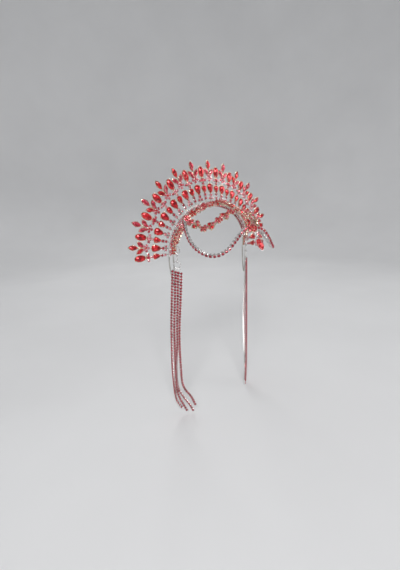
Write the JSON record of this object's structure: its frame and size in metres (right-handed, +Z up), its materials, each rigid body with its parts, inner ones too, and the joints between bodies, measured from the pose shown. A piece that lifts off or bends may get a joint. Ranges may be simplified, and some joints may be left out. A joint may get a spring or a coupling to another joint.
{
  "type": "bridal crown",
  "caption": "Bridal crown: an arched band with a fan of jewelled rays, a garland, a strip down to a forehead cluster and drop, swags and flower chains, and a stone tassel at each temple.",
  "frame": {"origin": "midway between the two ends of the band, where the crown sits on the head", "axes": "+Z up, -Y the way the wearer faces, +X to the wearer's left"},
  "size_m": [0.28, 0.1179, 0.4005],
  "materials": {
    "red_stones": "cut red glass stones, foil-backed, in gold-toned claw settings",
    "pink_stones": "small cut pinkish-red glass stones on gold-toned wire",
    "silver_metal": "bright silver-toned wire and cups",
    "pale_wire": "pale grey plain wire"
  },
  "bodies": {
    "root": {"ray_01": "red_stones", "ray_02": "red_stones", "ray_03": "red_stones", "ray_04": "red_stones", "ray_05": "red_stones", "ray_06": "red_stones", "ray_07": "red_stones", "ray_08": "red_stones", "ray_09": "red_stones", "ray_10": "red_stones", "ray_11": "red_stones", "ray_12": "red_stones", "ray_13": "red_stones", "ray_14": "red_stones", "ray_15": "red_stones", "ray_16": "red_stones", "ray_17": "red_stones", "ray_18": "red_stones", "ray_19": "red_stones", "ray_20": "red_stones", "ray_21": "red_stones", "ray_22": "red_stones", "ray_23": "red_stones", "ray_24": "red_stones", "ray_25": "red_stones", "ray_26": "red_stones", "ray_27": "red_stones", "crown_band": "red_stones", "forehead_cluster": "red_stones", "forehead_drop": "red_stones", "junction_right": "red_stones", "junction_left": "red_stones", "tassel_right": "red_stones", "tassel_left": "red_stones", "front_garland": "pink_stones", "centre_strip": "pink_stones", "flower_chain_right": "pink_stones", "flower_chain_left": "pink_stones", "drop_bail": "silver_metal", "swag_right": "silver_metal", "swag_left": "silver_metal", "hook_right": "silver_metal", "hook_left": "silver_metal", "link_right": "silver_metal", "link_left": "silver_metal", "tassel_ring_right": "silver_metal", "tassel_ring_left": "silver_metal", "hair_loop_right": "pale_wire", "hair_loop_left": "pale_wire"}
  },
  "joints": []
}
